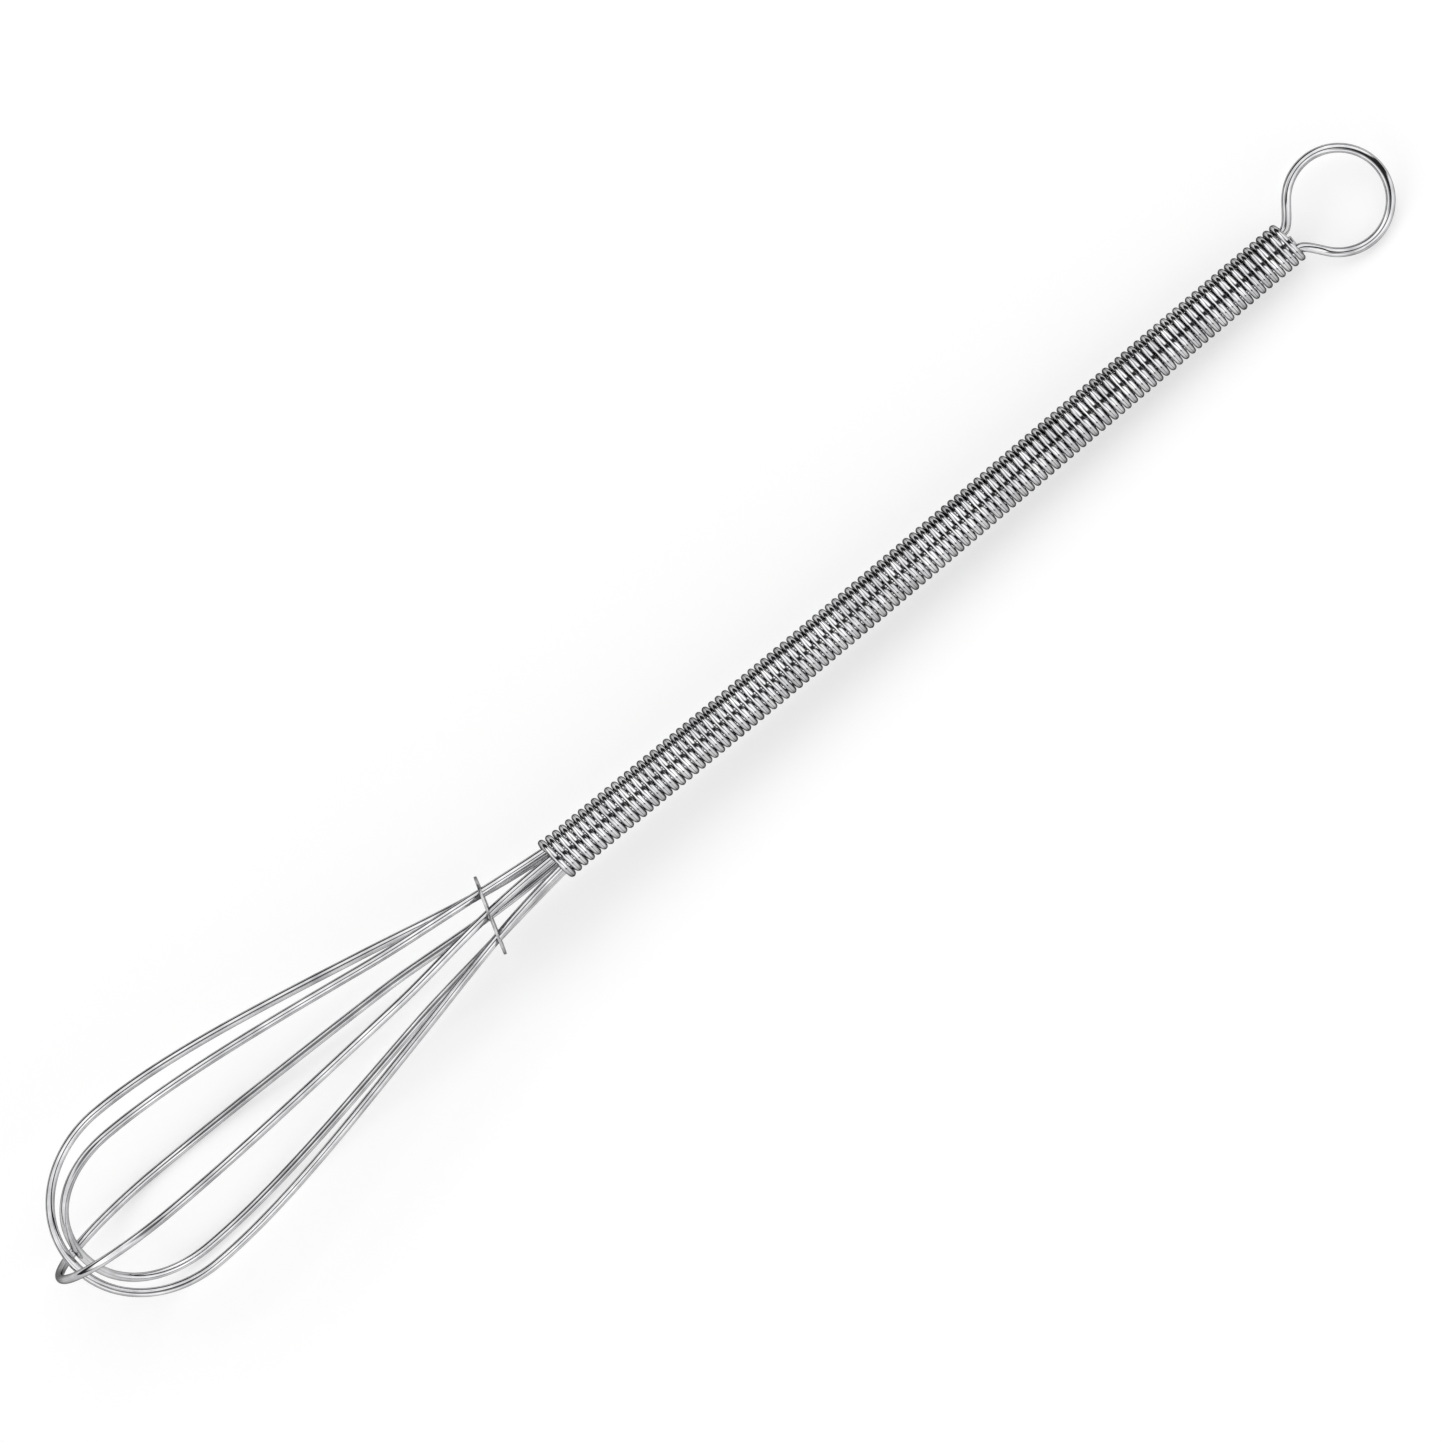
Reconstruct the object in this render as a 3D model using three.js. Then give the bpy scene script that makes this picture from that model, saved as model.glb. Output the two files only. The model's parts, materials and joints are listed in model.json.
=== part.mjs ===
// Mini whisk of bent wire: a coil-bound handle with a hanging ring, three nested balloon loops and a
// loose spreader disc. Millimetres, +Z up. The whisk lies on its side with the ring end towards +X.
import * as THREE from 'three';

// Balloon loops. Reaches run from the balloon end of the coil, radii to the middle of the wire.
const loopWire = 0.95;
const balloonRadius = 10.46;
const widestReach = 53;
const outerTipReach = 66.5;
const outerTipGap = 1;
const innerTipGap = 0.3;

// Control points that shape the flare from the neck and the round end
const neckReach = 15.9;
const neckRadius = 2.62;
const shoulderReach = 15.5;
const crownReach = 6.1;
const crownRadius = 6.2;

// Handle coil
const coilLength = 98.8;
const coilWire = 0.74;
const coilGap = 0.42;
const coilClearance = 0.05;

// Legs of the loops and of the ring, side by side inside the coil
const legGap = 0.2;
const legInset = 1.5;
const legEndGap = 0.3;

// Hanging ring
const ringWire = 1;
const ringRadius = 5.37;
const ringShoulder = 2.2;
const ringArc = THREE.MathUtils.degToRad(140);
const ringLegLength = 30;
const ringRoll = THREE.MathUtils.degToRad(18);

// Spreader disc
const discDiameter = 8.3;
const discThickness = 0.3;
const discReach = 8.8;
const discTilt = THREE.MathUtils.degToRad(18.3);
const discClearance = 0.2;

// Facets
const wireSides = 8;
const neckSteps = 11;
const crownSteps = 8;
const bendSteps = 6;
const arcSteps = 12;
const coilSides = 5;
const stepsPerTurn = 8;
const discSides = 40;
const holeSides = 14;

// Three loops bring six legs, evenly spaced round the axis
const legCount = 6;
const loopSpacing = (2 * Math.PI) / legCount;

// Legs lie on a hexagon, so the legs' circle is as wide as the distance between two neighbours
const thickLeg = Math.max(loopWire, ringWire);
const legCircle = (loopWire + thickLeg) / 2 + legGap;

// The coil's facets cut inside its circle, and their middles clear the legs
const coilInside = legCircle + thickLeg / 2 + coilClearance;
const coilRadius = (coilInside + coilWire / 2) / Math.cos(Math.PI / stepsPerTurn);

function steel(color, roughness) {
  return new THREE.MeshStandardMaterial({ color, roughness, metalness: 1 });
}

function circlePoints(radius, sides, centre = new THREE.Vector2()) {
  return Array.from({ length: sides }, (_, i) => {
    const angle = (2 * Math.PI * i) / sides;
    return new THREE.Vector2(radius * Math.cos(angle), radius * Math.sin(angle)).add(centre);
  });
}

// A smooth curve through its knots, on which equal steps land on the knots
class KnotCurve extends THREE.CatmullRomCurve3 {
  getUtoTmapping(u) {
    return u;
  }
}

function wireGeometry(knots, diameter) {
  return new THREE.ExtrudeGeometry(new THREE.Shape(circlePoints(diameter / 2, wireSides)), {
    extrudePath: new KnotCurve(knots),
    steps: knots.length - 1,
    bevelEnabled: false,
  });
}

// Half of a wire, as points along and off the axis, made whole by its mirror image
function hairpin(half, place) {
  const there = half.map((p) => place(p.x, p.y));
  const back = half.slice(0, -1).map((p) => place(p.x, -p.y));
  return [...there, ...back.reverse()];
}

// Flare of a balloon wire, from the coil's end out to the widest place
const flare = new THREE.CubicBezierCurve(
  new THREE.Vector2(0, legCircle),
  new THREE.Vector2(-neckReach, neckRadius),
  new THREE.Vector2(shoulderReach - widestReach, balloonRadius),
  new THREE.Vector2(-widestReach, balloonRadius),
);

function crown(tipReach) {
  return new THREE.CubicBezierCurve(
    new THREE.Vector2(-widestReach, balloonRadius),
    new THREE.Vector2(-widestReach - crownReach, balloonRadius),
    new THREE.Vector2(-tipReach, crownRadius),
    new THREE.Vector2(-tipReach, 0),
  );
}

function balloonLoop(name, tipReach, legEnd, turn) {
  const half = [
    new THREE.Vector2(legEnd, legCircle),
    ...flare.getPoints(neckSteps),
    ...crown(tipReach).getPoints(crownSteps).slice(1),
  ];
  const knots = hairpin(half, (x, off) => new THREE.Vector3(x, off, 0));
  const loop = new THREE.Mesh(wireGeometry(knots, loopWire), steel(0xd2d4d6, 0.15));
  loop.name = name;
  loop.rotation.x = turn;
  return loop;
}

// The outer tip stands clear of the middle one, and the inner tip lies close behind that
const middleTipReach = outerTipReach - loopWire - outerTipGap;
const innerTipReach = middleTipReach - loopWire - innerTipGap;
const longLegEnd = coilLength - legInset;
const shortLegEnd = coilLength - ringLegLength - legEndGap;

// The ring's legs lie in the middle loop's two places, and its bends turn them into the ring's plane
function hangingRing() {
  const joinReach = coilLength + ringShoulder;
  const joinOff = ringRadius * Math.sin(ringArc);
  const centre = joinReach - ringRadius * Math.cos(ringArc);
  const handle = ringShoulder / 2;
  const bend = new THREE.CubicBezierCurve(
    new THREE.Vector2(coilLength, legCircle),
    new THREE.Vector2(coilLength + handle, legCircle),
    new THREE.Vector2(joinReach - handle * Math.sin(ringArc), joinOff + handle * Math.cos(ringArc)),
    new THREE.Vector2(joinReach, joinOff),
  );
  const arc = new THREE.EllipseCurve(centre, 0, ringRadius, ringRadius, ringArc, 0, true);
  const half = [
    new THREE.Vector2(coilLength - ringLegLength, legCircle),
    ...bend.getPoints(bendSteps),
    ...arc.getPoints(arcSteps).slice(1),
  ];
  const knots = hairpin(half, (x, off) => {
    const roll = ringRoll * THREE.MathUtils.smoothstep(x, coilLength, joinReach);
    return new THREE.Vector3(x, off * Math.cos(roll), off * Math.sin(roll));
  });
  const ring = new THREE.Mesh(wireGeometry(knots, ringWire), steel(0xcdcfd1, 0.18));
  ring.name = 'hanging_ring';
  return ring;
}

// One unbroken right-handed helix, as rings of points that are joined into a tube
function coilRings() {
  const turns = Math.floor((coilLength - coilWire) / (coilWire + coilGap));
  const lead = coilLength / (turns + 1);
  const rise = lead / (2 * Math.PI);
  const steps = turns * stepsPerTurn;
  const start = -Math.PI / 2;
  const rings = Array.from({ length: steps + 1 }, (_, i) => {
    const angle = (2 * Math.PI * i) / stepsPerTurn;
    const outward = new THREE.Vector3(0, Math.cos(start + angle), Math.sin(start + angle));
    const forward = new THREE.Vector3(rise, -coilRadius * outward.z, coilRadius * outward.y).normalize();
    const centre = outward.clone().multiplyScalar(coilRadius).setX(lead / 2 + rise * angle);
    return { centre, outward, forward };
  });
  const straightOn = (ring, reach) => {
    const centre = ring.centre.clone().addScaledVector(ring.forward, reach);
    return { ...ring, centre };
  };
  return [straightOn(rings[0], -coilWire), ...rings, straightOn(rings[steps], coilWire)];
}

function tubeGeometry(rings, diameter, sides) {
  const positions = [];
  for (const { centre, outward, forward } of rings) {
    const aside = forward.clone().cross(outward);
    for (const corner of circlePoints(diameter / 2, sides)) {
      const point = centre.clone().addScaledVector(outward, corner.x).addScaledVector(aside, corner.y);
      positions.push(point.x, point.y, point.z);
    }
  }
  const faces = [];
  const last = (rings.length - 1) * sides;
  for (let first = 0; first < last; first += sides) {
    for (let side = 0; side < sides; side += 1) {
      const here = first + side;
      const beside = first + ((side + 1) % sides);
      faces.push(here, beside, here + sides, beside, beside + sides, here + sides);
    }
  }
  for (let side = 1; side < sides - 1; side += 1) {
    faces.push(0, side + 1, side, last, last + side, last + side + 1);
  }
  const geometry = new THREE.BufferGeometry();
  geometry.setAttribute('position', new THREE.Float32BufferAttribute(positions, 3));
  geometry.setIndex(faces);
  geometry.computeVertexNormals();
  return geometry;
}

function leastGapToItself(points, diameter, skip) {
  let least = Infinity;
  for (let i = 0; i < points.length; i += 1) {
    for (let j = i + skip; j < points.length; j += 1) {
      least = Math.min(least, points[i].distanceTo(points[j]));
    }
  }
  return least - diameter;
}

function handleCoil() {
  const rings = coilRings();
  const centres = rings.map((ring) => ring.centre);
  const gap = leastGapToItself(centres, coilWire, stepsPerTurn / 2);
  console.log(`handle_coil: least gap to itself ${gap.toFixed(3)} mm`);
  const coil = new THREE.Mesh(tubeGeometry(rings, coilWire, coilSides), steel(0xbfc1c4, 0.2));
  coil.name = 'handle_coil';
  return coil;
}

// Off-axis distance and slope of the balloon wires at a reach from the coil, found by halving
function wireAt(reach) {
  let low = 0;
  let high = 1;
  while (high - low > 1e-9) {
    const middle = (low + high) / 2;
    if (-flare.getPoint(middle).x < reach) {
      low = middle;
    } else {
      high = middle;
    }
  }
  const tangent = flare.getTangent(low);
  return { off: flare.getPoint(low).y, slope: -tangent.y / tangent.x };
}

// The disc rocks about the point where the normals of the wires round it meet, and its holes are wide
// enough for wires that cross it aslant
function spreaderDisc() {
  const wire = wireAt(discReach);
  const arm = wire.off * wire.slope;
  const aslant = discTilt + Math.atan(wire.slope);
  const hole = loopWire / 2 / Math.cos(aslant) + (discThickness / 2) * Math.tan(aslant) + discClearance;
  const holeCircle = (wire.off * (1 + 1 / Math.cos(discTilt))) / 2;
  const plate = new THREE.Shape(circlePoints(discDiameter / 2, discSides));
  for (let leg = 0; leg < legCount; leg += 1) {
    const angle = leg * loopSpacing - ringRoll;
    const centre = new THREE.Vector2(-Math.sin(angle), Math.cos(angle)).multiplyScalar(holeCircle);
    plate.holes.push(new THREE.Path(circlePoints(hole, holeSides, centre)));
  }
  const geometry = new THREE.ExtrudeGeometry(plate, { depth: discThickness, bevelEnabled: false });
  geometry.translate(0, 0, -discThickness / 2);
  const disc = new THREE.Mesh(geometry, steel(0xb9bcbf, 0.3));
  disc.name = 'spreader_disc';
  disc.rotation.y = Math.PI / 2;
  disc.position.x = arm;
  const lean = new THREE.Group();
  lean.rotation.z = -discTilt;
  lean.add(disc);
  const pivot = new THREE.Group();
  pivot.position.x = -discReach - arm;
  pivot.rotation.x = ringRoll;
  pivot.add(lean);
  return pivot;
}

const whisk = new THREE.Group();
whisk.add(
  handleCoil(),
  hangingRing(),
  balloonLoop('outer_loop', outerTipReach, longLegEnd, 2 * loopSpacing),
  balloonLoop('middle_loop', middleTipReach, shortLegEnd, 0),
  balloonLoop('inner_loop', innerTipReach, longLegEnd, loopSpacing),
  spreaderDisc(),
);

// At rest the two lowest wires of the balloon and the far end of the coil touch the surface below
const balloonRest = balloonRadius * Math.cos(loopSpacing / 2) + loopWire / 2;
const coilRest = coilRadius + coilWire / 2;
whisk.rotation.y = Math.asin((balloonRest - coilRest) / (widestReach + coilLength));

// The origin is at the middle of the foot of the whisk's box
const part = new THREE.Group();
part.add(whisk);
const box = new THREE.Box3().setFromObject(part, true);
const middle = box.getCenter(new THREE.Vector3());
whisk.position.set(-middle.x, -middle.y, -box.min.z);

export default part;
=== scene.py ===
import json
import math

import bmesh
import bpy
from mathutils import Matrix, Vector
from mathutils.geometry import interpolate_bezier


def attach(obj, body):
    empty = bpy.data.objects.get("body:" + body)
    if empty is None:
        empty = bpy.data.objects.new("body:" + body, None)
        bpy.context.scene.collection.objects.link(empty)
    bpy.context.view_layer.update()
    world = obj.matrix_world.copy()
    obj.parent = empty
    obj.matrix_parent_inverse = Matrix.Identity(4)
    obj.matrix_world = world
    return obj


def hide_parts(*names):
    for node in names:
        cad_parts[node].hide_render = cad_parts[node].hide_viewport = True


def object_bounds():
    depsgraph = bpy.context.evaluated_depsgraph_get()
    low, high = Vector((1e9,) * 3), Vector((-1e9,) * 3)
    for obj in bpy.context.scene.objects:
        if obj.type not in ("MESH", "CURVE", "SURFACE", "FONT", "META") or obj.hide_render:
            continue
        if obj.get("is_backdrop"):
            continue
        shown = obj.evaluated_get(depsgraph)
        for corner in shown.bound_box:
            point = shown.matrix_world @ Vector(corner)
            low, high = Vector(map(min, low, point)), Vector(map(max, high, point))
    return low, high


mm = 0.001

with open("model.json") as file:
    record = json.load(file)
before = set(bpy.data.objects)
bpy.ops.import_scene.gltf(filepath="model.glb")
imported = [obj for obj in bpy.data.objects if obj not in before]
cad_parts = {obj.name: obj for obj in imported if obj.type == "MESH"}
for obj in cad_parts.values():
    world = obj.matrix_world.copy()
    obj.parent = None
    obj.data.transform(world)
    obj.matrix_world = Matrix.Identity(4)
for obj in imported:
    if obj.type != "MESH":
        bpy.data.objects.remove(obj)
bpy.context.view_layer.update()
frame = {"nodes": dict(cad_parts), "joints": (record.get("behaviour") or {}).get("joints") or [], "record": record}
print("frame loaded:", len(frame["nodes"]), "nodes")

# the whisk's own axes: along the handle to the ring, and the line square to the ring's plane
hangPoint = Vector(frame["record"]["mounts"][0]["pos_m"])
rockPoint = Vector(frame["joints"][0]["pos_m"])
ringSquare = Vector(frame["joints"][0]["axis"]).normalized()
alongHandle = (hangPoint - rockPoint).normalized()
ringAcross = ringSquare.cross(alongHandle)
level = Vector((0, 1, 0))
upright = alongHandle.cross(level)
ringRoll = math.atan2(ringAcross.dot(upright), ringAcross.dot(level))

# lengths in mm from the balloon end of the solid coil, legs measured from the middle of the handle
handle = {
    "start": -0.55, "end": 99.06, "ringCentre": 105.114, "legOff": 1.22,
    "sag": 0.45, "sagMiddle": 35, "sagReach": 68,
}
coilStart = hangPoint - alongHandle * handle["ringCentre"] * mm
whiskPlace = Matrix.Translation(coilStart) @ Matrix((alongHandle, level, upright)).transposed().to_4x4()


def smoothStep(low, high, value):
    t = min(max((value - low) / (high - low), 0), 1)
    return t * t * (3 - 2 * t)


def addNode(tree, kind, inputs=None, **settings):
    node = tree.nodes.new(kind)
    for name, value in settings.items():
        setattr(node, name, value)
    for name, value in (inputs or {}).items():
        if isinstance(value, bpy.types.NodeSocket):
            tree.links.new(value, node.inputs[name])
        else:
            node.inputs[name].default_value = value
    return node


# detail and roughness of the marks, and the range of wear between the dark and the bright tone
marks = {
    "streaks": (4.0, 0.6), "smudges": (3.0, 0.55), "grain": (2.0, 0.5),
    "leastWear": 0.1, "mostWear": 0.42,
}


# bright steel with draw marks along the wire, smudges and a fine grain
def steelFinish(name, spec):
    material = bpy.data.materials.new(name)
    material.use_nodes = True
    tree = material.node_tree
    shader = tree.nodes["Principled BSDF"]
    shader.inputs["Metallic"].default_value = 1
    shader.inputs["Specular Tint"].default_value = (*spec["rim"], 1)
    place = addNode(tree, "ShaderNodeTexCoord").outputs["Object"]
    drawn = addNode(tree, "ShaderNodeAttribute", attribute_name="drawn").outputs["Vector"]
    stretched = addNode(tree, "ShaderNodeMapping", {"Vector": drawn, "Scale": spec["streakScale"]})

    def noise(vector, scale, kind):
        detail, roughness = marks[kind]
        return addNode(tree, "ShaderNodeTexNoise", {
            "Vector": vector, "Scale": scale, "Detail": detail, "Roughness": roughness}).outputs["Fac"]

    streaks = noise(stretched.outputs["Vector"], 1.0, "streaks")
    smudges = noise(place, spec["smudgeScale"], "smudges")
    grain = noise(place, spec["grainScale"], "grain")
    worn = addNode(tree, "ShaderNodeMath", {0: streaks, 1: smudges}, operation="MULTIPLY").outputs[0]
    tone = addNode(tree, "ShaderNodeValToRGB", {"Fac": worn})
    darkStop, brightStop = tone.color_ramp.elements
    darkStop.position, darkStop.color = marks["leastWear"], (*spec["dark"], 1)
    brightStop.position, brightStop.color = marks["mostWear"], (*spec["bright"], 1)
    tree.links.new(tone.outputs["Color"], shader.inputs["Base Color"])
    gloss = addNode(tree, "ShaderNodeMapRange", {
        "Value": worn, "From Min": marks["leastWear"], "From Max": marks["mostWear"],
        "To Min": spec["roughest"], "To Max": spec["smoothest"]})
    tree.links.new(gloss.outputs["Result"], shader.inputs["Roughness"])
    scored = addNode(tree, "ShaderNodeBump", {
        "Height": streaks, "Strength": spec["scoreStrength"], "Distance": spec["scoreDepth"]})
    pitted = addNode(tree, "ShaderNodeBump", {
        "Height": grain, "Strength": spec["grainStrength"], "Distance": spec["grainDepth"],
        "Normal": scored.outputs["Normal"]})
    tree.links.new(pitted.outputs["Normal"], shader.inputs["Normal"])
    return material


# the handle is bent a little in the ring's plane
def bendHandle(bm):
    for vert in bm.verts:
        away = abs(vert.co.x / mm - handle["sagMiddle"]) / handle["sagReach"]
        drop = handle["sag"] * mm * smoothStep(1, 0, away)
        vert.co.y -= drop * math.cos(ringRoll)
        vert.co.z -= drop * math.sin(ringRoll)


def finishPiece(name, bm, finish, node, body):
    bendHandle(bm)
    bmesh.ops.transform(bm, matrix=whiskPlace, verts=bm.verts)
    bmesh.ops.recalc_face_normals(bm, faces=bm.faces)
    mesh = bpy.data.meshes.new(name)
    bm.to_mesh(mesh)
    bm.free()
    mesh.materials.append(finish)
    piece = bpy.data.objects.new(name, mesh)
    bpy.context.scene.collection.objects.link(piece)
    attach(piece, body)
    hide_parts(node)
    print(name, len(mesh.polygons), "faces")
    return piece


def onlyVerts(geom):
    return [item for item in geom if isinstance(item, bmesh.types.BMVert)]


def onlyEdges(geom):
    return [item for item in geom if isinstance(item, bmesh.types.BMEdge)]


def headings(points):
    ahead = [(b - a).normalized() for a, b in zip(points, points[1:])]
    between = [(a + b).normalized() for a, b in zip(ahead, ahead[1:])]
    return [ahead[0], *between, ahead[-1]]


# a round section of wire, marked with its own angles, ready to be pulled or spun
def wireSection(bm, centre, way, diameter, sides):
    drawn = bm.verts.layers.float_vector.new("drawn")
    turn = Vector((0, 0, 1)).rotation_difference(way).to_matrix().to_4x4()
    bmesh.ops.create_circle(
        bm, radius=diameter / 2, segments=sides, matrix=Matrix.Translation(centre) @ turn)
    for i, vert in enumerate(bm.verts):
        angle = 2 * math.pi * i / sides
        vert[drawn] = (math.cos(angle), math.sin(angle), 0)
    return drawn


# closes both cut ends and takes their sharp edge off
def closeEnds(bm, chamfer):
    for face in bm.faces:
        face.smooth = True
    openEdges = [edge for edge in bm.edges if edge.is_boundary]
    caps = bmesh.ops.holes_fill(bm, edges=openEdges, sides=0)["faces"]
    bmesh.ops.bevel(
        bm, geom=openEdges, offset=chamfer, offset_type="OFFSET", segments=2, profile=0.5,
        affect="EDGES", material=-1)
    return caps


# pulls the section along a run of points
def pullWire(points, diameter, sides, chamfer):
    bm = bmesh.new()
    ways = headings(points)
    drawn = wireSection(bm, points[0], ways[0], diameter, sides)
    rim = bm.edges[:]
    run = 0
    for here, there, way, nextWay in zip(points, points[1:], ways, ways[1:]):
        run += (there - here).length
        grown = bmesh.ops.extrude_edge_only(bm, edges=rim)["geom"]
        rim = onlyEdges(grown)
        verts = onlyVerts(grown)
        lean = way.rotation_difference(nextWay).to_matrix().to_4x4()
        bmesh.ops.transform(
            bm, matrix=Matrix.Translation(there) @ lean @ Matrix.Translation(-here), verts=verts)
        for vert in verts:
            vert[drawn].z = run
    closeEnds(bm, chamfer)
    return bm


# a wire bent back on itself: half of it as (along, off) pairs in mm, the rest its mirror image
def hairpin(half, turnAt):
    there = [(x, off) for x, off in half]
    back = [(x, -off) for x, off in reversed(half[:-1])]
    points = []
    for x, off in there + back:
        angle = turnAt(x)
        points.append(Vector((x, off * math.cos(angle), off * math.sin(angle))) * mm)
    return points


def bezier(a, b, c, d, steps):
    flat = [Vector((x, off, 0)) for x, off in (a, b, c, d)]
    return [(p.x, p.y) for p in interpolate_bezier(*flat, steps)]


balloon = {
    "wire": 0.95, "widest": 10.46, "widestReach": 53, "sides": 16, "chamfer": 0.1,
    "twist": -26, "twistReach": (-22, 4), "untwistReach": (46, 7), "legSteps": (46, 38, 30, 22, 14, 7),
    "inset": 2.0, "neck": (15.9, 2.6), "shoulderReach": 15.5, "crownReach": 6.1, "crownOff": 6.2,
    "flareSteps": 40, "crownSteps": 36,
    "loops": {
        "outer": {"tip": 66.5, "turn": 119.4, "legEnd": 97.3, "lean": -0.38},
        "middle": {"tip": 64.55, "turn": 0, "legEnd": 68.5, "lean": 0.34},
        "inner": {"tip": 63.3, "turn": 60, "legEnd": 97.3, "lean": 0},
    },
}
balloonSteel = steelFinish("balloonSteel", {
    "streakScale": (9, 9, 120), "smudgeScale": 260, "grainScale": 9000,
    "dark": (0.28, 0.28, 0.29), "bright": (0.82, 0.82, 0.83), "rim": (0.2, 0.2, 0.2),
    "roughest": 0.1, "smoothest": 0.03,
    "scoreStrength": 0.5, "scoreDepth": 0.000002, "grainStrength": 0.3, "grainDepth": 0.0000005})

flare = bezier(
    (balloon["inset"], handle["legOff"]), (-balloon["neck"][0], balloon["neck"][1]),
    (balloon["shoulderReach"] - balloon["widestReach"], balloon["widest"]),
    (-balloon["widestReach"], balloon["widest"]), balloon["flareSteps"])


# the six legs are twisted together where they enter the coil
def neckTwist(x):
    share = smoothStep(*balloon["twistReach"], x) * smoothStep(*balloon["untwistReach"], x)
    return math.radians(balloon["twist"]) * share


def balloonLoop(name, loop):
    crown = bezier(
        flare[-1], (flare[-1][0] - balloon["crownReach"], balloon["widest"]),
        (-loop["tip"], balloon["crownOff"]), (-loop["tip"], 0), balloon["crownSteps"])
    leg = [(x, handle["legOff"]) for x in (loop["legEnd"], *balloon["legSteps"])]
    half = [*leg, *flare, *crown[1:]]
    turn = math.radians(loop["turn"])
    points = hairpin(half, lambda x: turn + neckTwist(x))
    aside = Vector((0, math.cos(ringRoll), math.sin(ringRoll))) * loop["lean"] * mm
    points = [p + aside * smoothStep(0, -balloon["widestReach"], p.x / mm) for p in points]
    bm = pullWire(points, balloon["wire"] * mm, balloon["sides"], balloon["chamfer"] * mm)
    return finishPiece(name + "Loop", bm, balloonSteel, name + "_loop", "wire_frame")


for name, loop in balloon["loops"].items():
    balloonLoop(name, loop)

ring = {
    "wire": 1.0, "radius": 5.37, "arc": 141, "legLength": 30, "sides": 18, "chamfer": 0.1,
    "inset": 0.45, "pulls": (0.75, 1.5), "bendSteps": 18, "arcSteps": 44,
}
ringSteel = steelFinish("ringSteel", {
    "streakScale": (11, 11, 160), "smudgeScale": 320, "grainScale": 9000,
    "dark": (0.28, 0.28, 0.29), "bright": (0.8, 0.8, 0.81), "rim": (0.12, 0.12, 0.12),
    "roughest": 0.12, "smoothest": 0.05,
    "scoreStrength": 0.6, "scoreDepth": 0.000003, "grainStrength": 0.3, "grainDepth": 0.0000005})


def hangingRing():
    arc = math.radians(ring["arc"])
    leave = handle["end"] - ring["inset"]
    join = (handle["ringCentre"] + ring["radius"] * math.cos(arc), ring["radius"] * math.sin(arc))
    bend = bezier(
        (leave, handle["legOff"]), (leave + ring["pulls"][0], handle["legOff"]),
        (join[0] - ring["pulls"][1] * math.sin(arc), join[1] + ring["pulls"][1] * math.cos(arc)), join,
        ring["bendSteps"])
    half = [(leave - ring["legLength"], handle["legOff"]), *bend]
    for i in range(1, ring["arcSteps"] + 1):
        angle = arc * (1 - i / ring["arcSteps"])
        reach = handle["ringCentre"] + ring["radius"] * math.cos(angle)
        half.append((reach, ring["radius"] * math.sin(angle)))
    points = hairpin(half, lambda x: ringRoll * smoothStep(leave, join[0], x))
    bm = pullWire(points, ring["wire"] * mm, ring["sides"], ring["chamfer"] * mm)
    return finishPiece("hangingRing", bm, ringSteel, "hanging_ring", "wire_frame")


hangingRing()

coil = {
    "wire": 0.74, "radius": 2.095, "turns": 114, "stepsPerTurn": 32, "sides": 14, "chamfer": 0.08,
    "startAngle": -80, "flare": 0.065, "flareTurns": 2.2, "flareEase": 1.5, "sway": 0.03, "swayTurns": 9.3,
    "crest": (0.03, 0.14), "paintedLineTone": 0.35, "joinGap": 0.00074,
}
coilSteel = steelFinish("coilSteel", {
    "streakScale": (6, 6, 90), "smudgeScale": 300, "grainScale": 12000,
    "dark": (0.36, 0.36, 0.37), "bright": (0.86, 0.86, 0.87), "rim": (0.04, 0.04, 0.04),
    "roughest": 0.1, "smoothest": 0.04,
    "scoreStrength": 0.5, "scoreDepth": 0.000002, "grainStrength": 0.3, "grainDepth": 0.0000005})


# a thin dark line is painted along the crest of the wire and along its inner face: a painted reflection, standing
# in for the dark line that splits each turn's highlight
def paintCrestReflectionLine(material):
    tree = material.node_tree
    shader = tree.nodes["Principled BSDF"]
    tone = shader.inputs["Base Color"].links[0].from_socket
    drawn = addNode(tree, "ShaderNodeAttribute", attribute_name="drawn").outputs["Vector"]
    aside = addNode(tree, "ShaderNodeMath", {
        0: addNode(tree, "ShaderNodeSeparateXYZ", {"Vector": drawn}).outputs["Y"]}, operation="ABSOLUTE")
    # painted reflection: the base colour darkens to the line's tone where the section is at its crest or its inner
    # face
    crestReflectionShade = addNode(tree, "ShaderNodeMapRange", {
        "Value": aside.outputs[0], "From Min": coil["crest"][0], "From Max": coil["crest"][1],
        "To Min": coil["paintedLineTone"]}, interpolation_type="SMOOTHSTEP")
    reflectionShadedTone = addNode(tree, "ShaderNodeVectorMath", {
        0: tone, 1: crestReflectionShade.outputs["Result"]}, operation="MULTIPLY")
    tree.links.new(reflectionShadedTone.outputs["Vector"], shader.inputs["Base Color"])


# paints the dark reflection line onto the coil's steel
paintCrestReflectionLine(coilSteel)


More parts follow.
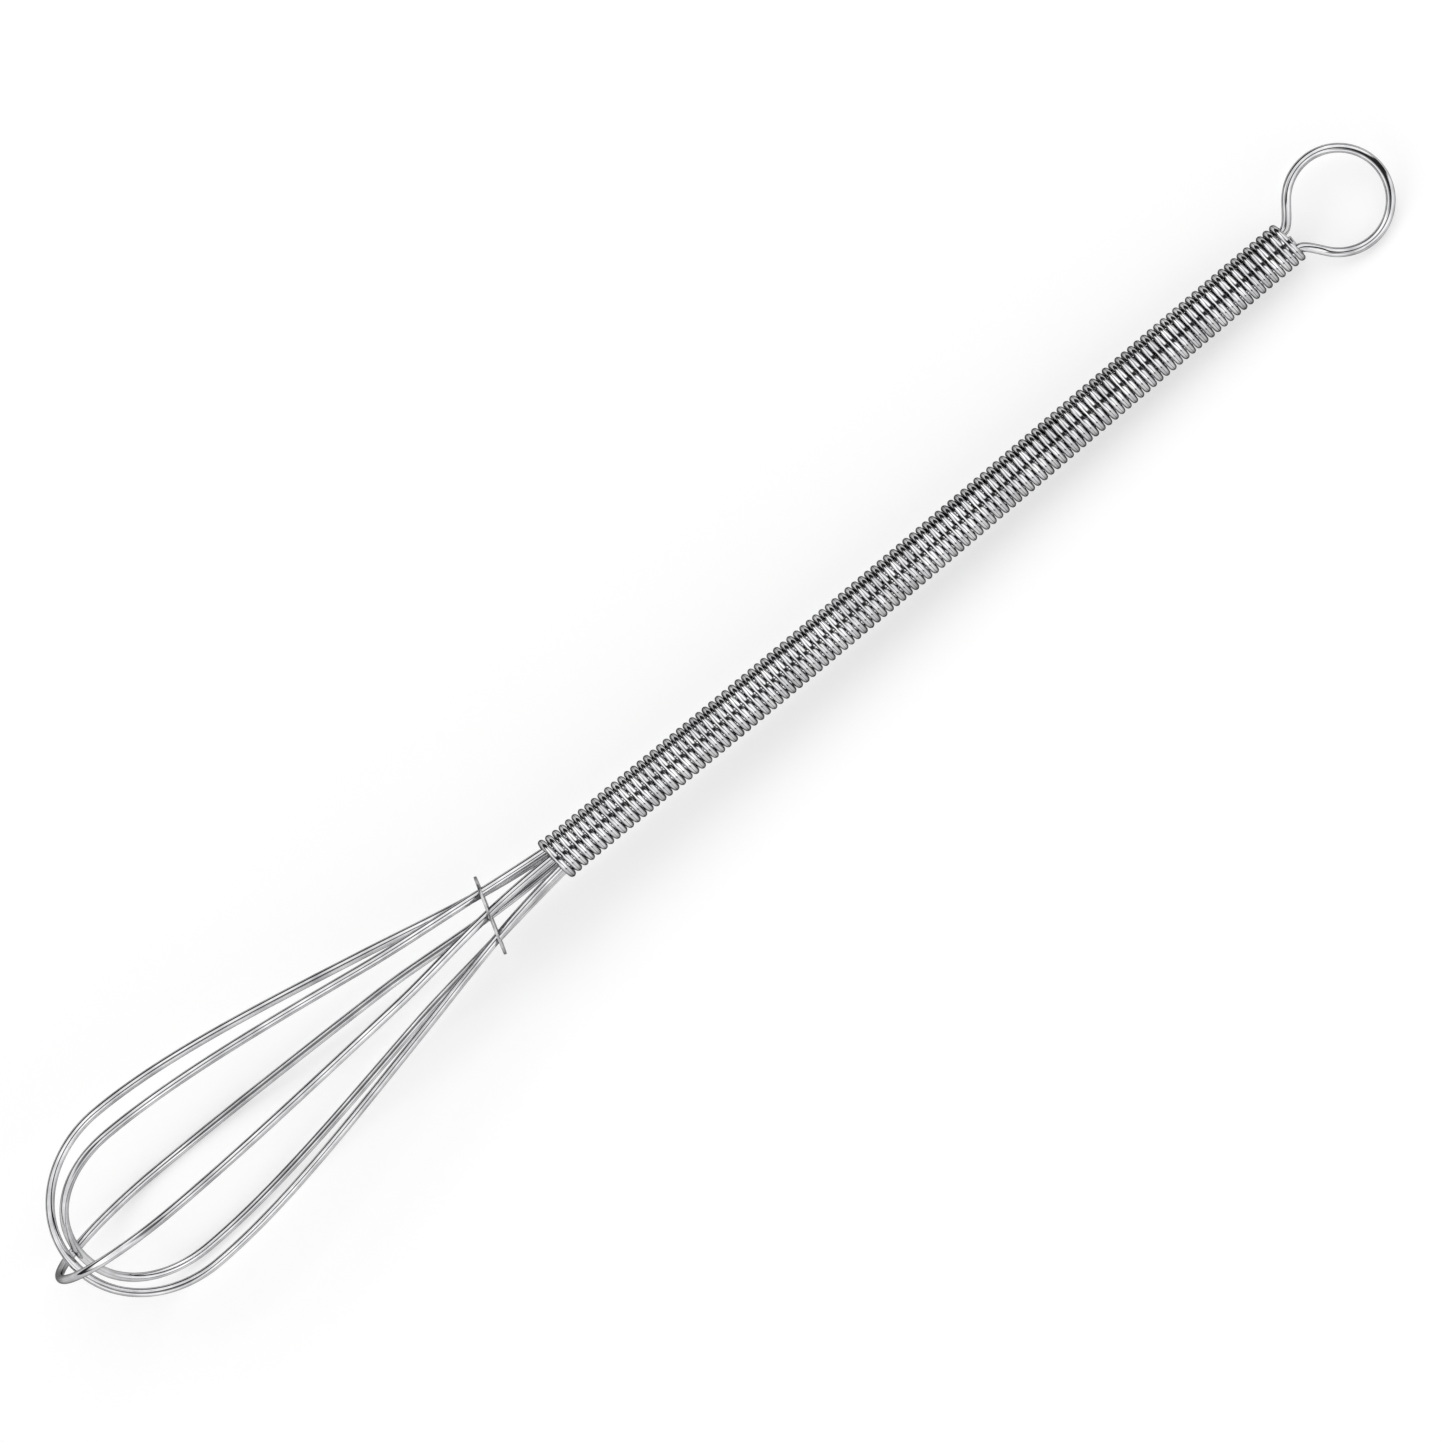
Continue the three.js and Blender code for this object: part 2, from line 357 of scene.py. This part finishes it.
# one turn is spun, repeated along the handle and joined into one unbroken wire
def handleCoil():
    bm = bmesh.new()
    lead = (handle["end"] - handle["start"] - coil["wire"]) / coil["turns"] * mm
    radius = coil["radius"] * mm
    start = math.radians(coil["startAngle"]) + ringRoll
    outward = Vector((0, math.cos(start), math.sin(start)))
    first = Vector(((handle["start"] + coil["wire"] / 2) * mm, 0, 0)) + outward * radius
    way = Vector((lead / (2 * math.pi), -radius * outward.z, radius * outward.y)).normalized()
    drawn = wireSection(bm, first, way, coil["wire"] * mm, coil["sides"])
    side = way.cross(outward)
    for vert in bm.verts:
        spoke = (vert.co - first).normalized()
        vert[drawn] = (spoke.dot(outward), spoke.dot(side), 0)
    steps = coil["stepsPerTurn"]
    bmesh.ops.spin(
        bm, geom=bm.verts[:] + bm.edges[:], cent=(0, 0, 0), axis=(1, 0, 0), dvec=(lead / steps, 0, 0),
        angle=2 * math.pi, steps=steps, use_merge=False)
    oneTurn = bm.verts[:] + bm.edges[:] + bm.faces[:]
    for i in range(1, coil["turns"]):
        copied = bmesh.ops.duplicate(bm, geom=oneTurn)["geom"]
        bmesh.ops.translate(bm, vec=(lead * i, 0, 0), verts=onlyVerts(copied))
    bmesh.ops.remove_doubles(bm, verts=bm.verts, dist=coil["joinGap"] * mm)
    closeEnds(bm, coil["chamfer"] * mm)
    for vert in bm.verts:
        turned = ((math.atan2(vert.co.z, vert.co.y) - start) / (2 * math.pi)) % 1
        whole = round((vert.co.x - first.x) / lead - turned)
        vert[drawn].z = (whole + turned) * 2 * math.pi * radius
        opened = 1 + coil["flare"] * max(1 - (whole + turned) / coil["flareTurns"], 0) ** coil["flareEase"]
        sway = coil["sway"] * mm * math.sin(2 * math.pi * vert.co.x / lead / coil["swayTurns"])
        vert.co = (vert.co.x + sway, vert.co.y * opened, vert.co.z * opened)
    return finishPiece("handleCoil", bm, coilSteel, "handle_coil", "wire_frame")


handleCoil()

disc = {
    "diameter": 8.6, "thickness": 0.3, "reach": 8.75, "lean": 18.3, "clearance": 0.28,
    "sides": 96, "holes": 6, "holeSides": 36, "rounding": 0.06, "roundingSteps": 3,
    "cornerAngle": 1, "flat": 0.999,
}
plateSteel = steelFinish("plateSteel", {
    "streakScale": (2600, 2600, 2600), "smudgeScale": 500, "grainScale": 14000,
    "dark": (0.34, 0.34, 0.35), "bright": (0.6, 0.6, 0.61), "rim": (0.2, 0.2, 0.2),
    "roughest": 0.34, "smoothest": 0.2,
    "scoreStrength": 0.5, "scoreDepth": 0.000004, "grainStrength": 0.4, "grainDepth": 0.000002})


# how far off the middle the balloon wires are, and how steeply they leave it, at a reach from the coil
def wireAt(reach):
    for (x0, off0), (x1, off1) in zip(flare, flare[1:]):
        if -x1 >= reach:
            slope = (off1 - off0) / (x0 - x1)
            return off0 + (x0 + reach) * slope, slope


def spreaderDisc():
    off, slope = wireAt(disc["reach"])
    lean = math.radians(disc["lean"])
    aslant = lean + math.atan(slope)
    slanted = balloon["wire"] / 2 / math.cos(aslant) + disc["thickness"] / 2 * math.tan(aslant)
    hole = slanted + disc["clearance"]
    holeCircle = off * (1 + 1 / math.cos(lean)) / 2
    bm = bmesh.new()
    drawn = bm.verts.layers.float_vector.new("drawn")
    bmesh.ops.create_circle(bm, radius=disc["diameter"] / 2 * mm, segments=disc["sides"])
    for i in range(disc["holes"]):
        angle = math.radians(360 / disc["holes"] * i) - ringRoll + neckTwist(-disc["reach"])
        centre = Vector((-math.sin(angle), math.cos(angle), 0)) * holeCircle * mm
        bmesh.ops.create_circle(
            bm, radius=hole * mm, segments=disc["holeSides"], matrix=Matrix.Translation(centre))
    bmesh.ops.triangle_fill(bm, use_beauty=True, edges=bm.edges, normal=(0, 0, 1))
    grown = bmesh.ops.extrude_face_region(bm, geom=bm.faces)["geom"]
    bmesh.ops.translate(bm, vec=(0, 0, disc["thickness"] * mm), verts=onlyVerts(grown))
    bmesh.ops.translate(bm, vec=(0, 0, -disc["thickness"] / 2 * mm), verts=bm.verts)
    bmesh.ops.recalc_face_normals(bm, faces=bm.faces)
    corners = [edge for edge in bm.edges if edge.calc_face_angle(0) > disc["cornerAngle"]]
    bmesh.ops.bevel(
        bm, geom=corners, offset=disc["rounding"] * mm, offset_type="OFFSET",
        segments=disc["roundingSteps"], profile=0.5, affect="EDGES", material=-1)
    for face in bm.faces:
        face.smooth = abs(face.normal.z) < disc["flat"]
    for vert in bm.verts:
        vert[drawn] = vert.co
    pivot = whiskPlace.inverted() @ rockPoint
    arm = -pivot.x - disc["reach"] * mm
    hinge = Matrix.Translation(pivot) @ Matrix.Rotation(ringRoll, 4, "X") @ Matrix.Rotation(-lean, 4, "Z")
    place = hinge @ Matrix.Translation((arm, 0, 0)) @ Matrix.Rotation(math.pi / 2, 4, "Y")
    bmesh.ops.transform(bm, matrix=place, verts=bm.verts)
    return finishPiece("spreaderDisc", bm, plateSteel, "spreader_disc", "disc")


spreaderDisc()

floor = {"size": 3, "colour": (1, 1, 1, 1), "roughness": 0.6, "metal": 0.1, "whiteShare": 0.5}


def paleFloor():
    material = bpy.data.materials.new("paleFloor")
    material.use_nodes = True
    tree = material.node_tree
    shader = tree.nodes["Principled BSDF"]
    shader.inputs["Base Color"].default_value = floor["colour"]
    shader.inputs["Roughness"].default_value = floor["roughness"]
    shader.inputs["Metallic"].default_value = floor["metal"]
    # part of the white shows to the camera and in the metal whatever the shadow
    ray = addNode(tree, "ShaderNodeLightPath").outputs
    mirrored = addNode(tree, "ShaderNodeMath", {
        0: ray["Is Glossy Ray"], 1: ray["Is Transmission Ray"]}, operation="MAXIMUM")
    seen = addNode(tree, "ShaderNodeMath", {
        0: ray["Is Camera Ray"], 1: mirrored.outputs[0]}, operation="MAXIMUM")
    share = addNode(tree, "ShaderNodeMath", {
        0: seen.outputs[0], 1: floor["whiteShare"]}, operation="MULTIPLY")
    white = addNode(tree, "ShaderNodeEmission", {"Color": floor["colour"], "Strength": 1.0})
    lifted = addNode(tree, "ShaderNodeMixShader", {
        0: share.outputs[0], 1: shader.outputs["BSDF"], 2: white.outputs["Emission"]})
    tree.links.new(lifted.outputs["Shader"], tree.nodes["Material Output"].inputs["Surface"])
    bm = bmesh.new()
    foot = Vector((0, 0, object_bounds()[0][2]))
    bmesh.ops.create_grid(
        bm, x_segments=1, y_segments=1, size=floor["size"] / 2, matrix=Matrix.Translation(foot))
    mesh = bpy.data.meshes.new("floor")
    bm.to_mesh(mesh)
    bm.free()
    mesh.materials.append(material)
    plane = bpy.data.objects.new("floor", mesh)
    bpy.context.scene.collection.objects.link(plane)
    plane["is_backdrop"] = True


paleFloor()

# one wide soft light overhead, along the handle, in a dim room; angles in degrees from its middle,
# with a dim slot towards the ring and a dim patch towards the tip
studio = {
    "glow": 1.52, "room": 0.03, "lightTilt": -3, "lightEnds": (74, 88), "lightSides": (58, 70),
    "slot": (0.12, 0.25), "slotEnd": (0.2, 0.5),
    "spot": (0.38, 0.0), "spotReach": (0.28, 0.6), "spotEdge": (0.6, 1.25), "spotDepth": 0.8,
}


def studioLight():
    world = bpy.data.worlds.new("studio")
    bpy.context.scene.world = world
    world.use_nodes = True
    tree = world.node_tree
    background = tree.nodes["Background"]
    look = addNode(tree, "ShaderNodeTexCoord").outputs["Generated"]
    tilted = Matrix.Rotation(math.radians(studio["lightTilt"]), 3, alongHandle)

    def facing(line):
        return addNode(tree, "ShaderNodeVectorMath", {
            0: look, 1: line}, operation="DOT_PRODUCT").outputs["Value"]

    def ramp(value, low, high, least=0.0):
        return addNode(tree, "ShaderNodeMapRange", {
            "Value": value, "From Min": low, "From Max": high, "To Min": least},
            interpolation_type="SMOOTHSTEP").outputs["Result"]

    def offset(value, middle, reach):
        return addNode(tree, "ShaderNodeMapRange", {
            "Value": value, "From Min": middle, "From Max": middle + reach}, clamp=False).outputs["Result"]

    def multiply(a, b):
        return addNode(tree, "ShaderNodeMath", {0: a, 1: b}, operation="MULTIPLY").outputs[0]

    def distance(value):
        return addNode(tree, "ShaderNodeMath", {0: value}, operation="ABSOLUTE").outputs[0]

    endNear, endFar = (math.cos(math.radians(angle)) for angle in studio["lightEnds"])
    sideNear, sideFar = (math.sin(math.radians(angle)) for angle in studio["lightSides"])
    panel = multiply(
        ramp(facing(tilted @ ringSquare), endFar, endNear),
        ramp(distance(facing(tilted @ ringAcross)), sideFar, sideNear))
    towardTip = facing(-alongHandle)
    across = facing(ringAcross)
    clear = addNode(tree, "ShaderNodeMath", {
        0: ramp(distance(across), *studio["slot"]), 1: ramp(towardTip, *studio["slotEnd"])},
        operation="MAXIMUM").outputs[0]
    spotPlace = addNode(tree, "ShaderNodeCombineXYZ", {
        "X": offset(towardTip, studio["spot"][0], studio["spotReach"][0]),
        "Y": offset(across, studio["spot"][1], studio["spotReach"][1])}).outputs["Vector"]
    spotAway = addNode(tree, "ShaderNodeVectorMath", {0: spotPlace}, operation="LENGTH").outputs["Value"]
    unshaded = ramp(spotAway, *studio["spotEdge"], 1 - studio["spotDepth"])
    lit = multiply(panel, multiply(clear, unshaded))
    strength = addNode(tree, "ShaderNodeMapRange", {
        "Value": lit, "To Min": studio["room"], "To Max": studio["glow"]})
    tree.links.new(strength.outputs["Result"], background.inputs["Strength"])
    background.inputs["Color"].default_value = (1, 1, 1, 1)


studioLight()

# the camera looks square on the ring, with the handle rising to the upper right
camera = {
    "lens": 400, "sensor": 36, "clip": (0.01, 20), "frameWidth": 148.1,
    "middleReach": 22.2, "middleOff": -0.3, "tilt": 40.0,
}


def lookCamera():
    data = bpy.data.cameras.new("camera")
    data.lens = camera["lens"]
    data.sensor_width = camera["sensor"]
    data.clip_start, data.clip_end = camera["clip"]
    tilt = math.radians(camera["tilt"])
    right = alongHandle * math.cos(tilt) - ringAcross * math.sin(tilt)
    up = alongHandle * math.sin(tilt) + ringAcross * math.cos(tilt)
    aim = coilStart + (alongHandle * camera["middleReach"] + ringAcross * camera["middleOff"]) * mm
    distance = camera["frameWidth"] * mm * camera["lens"] / camera["sensor"]
    eye = bpy.data.objects.new("camera", data)
    eye.matrix_world = Matrix.Translation(aim + ringSquare * distance) @ Matrix(
        (right, up, ringSquare)).transposed().to_4x4()
    bpy.context.scene.collection.objects.link(eye)
    bpy.context.scene.camera = eye


lookCamera()
bpy.context.scene.view_settings.view_transform = "Standard"
print("stage, light and camera set")
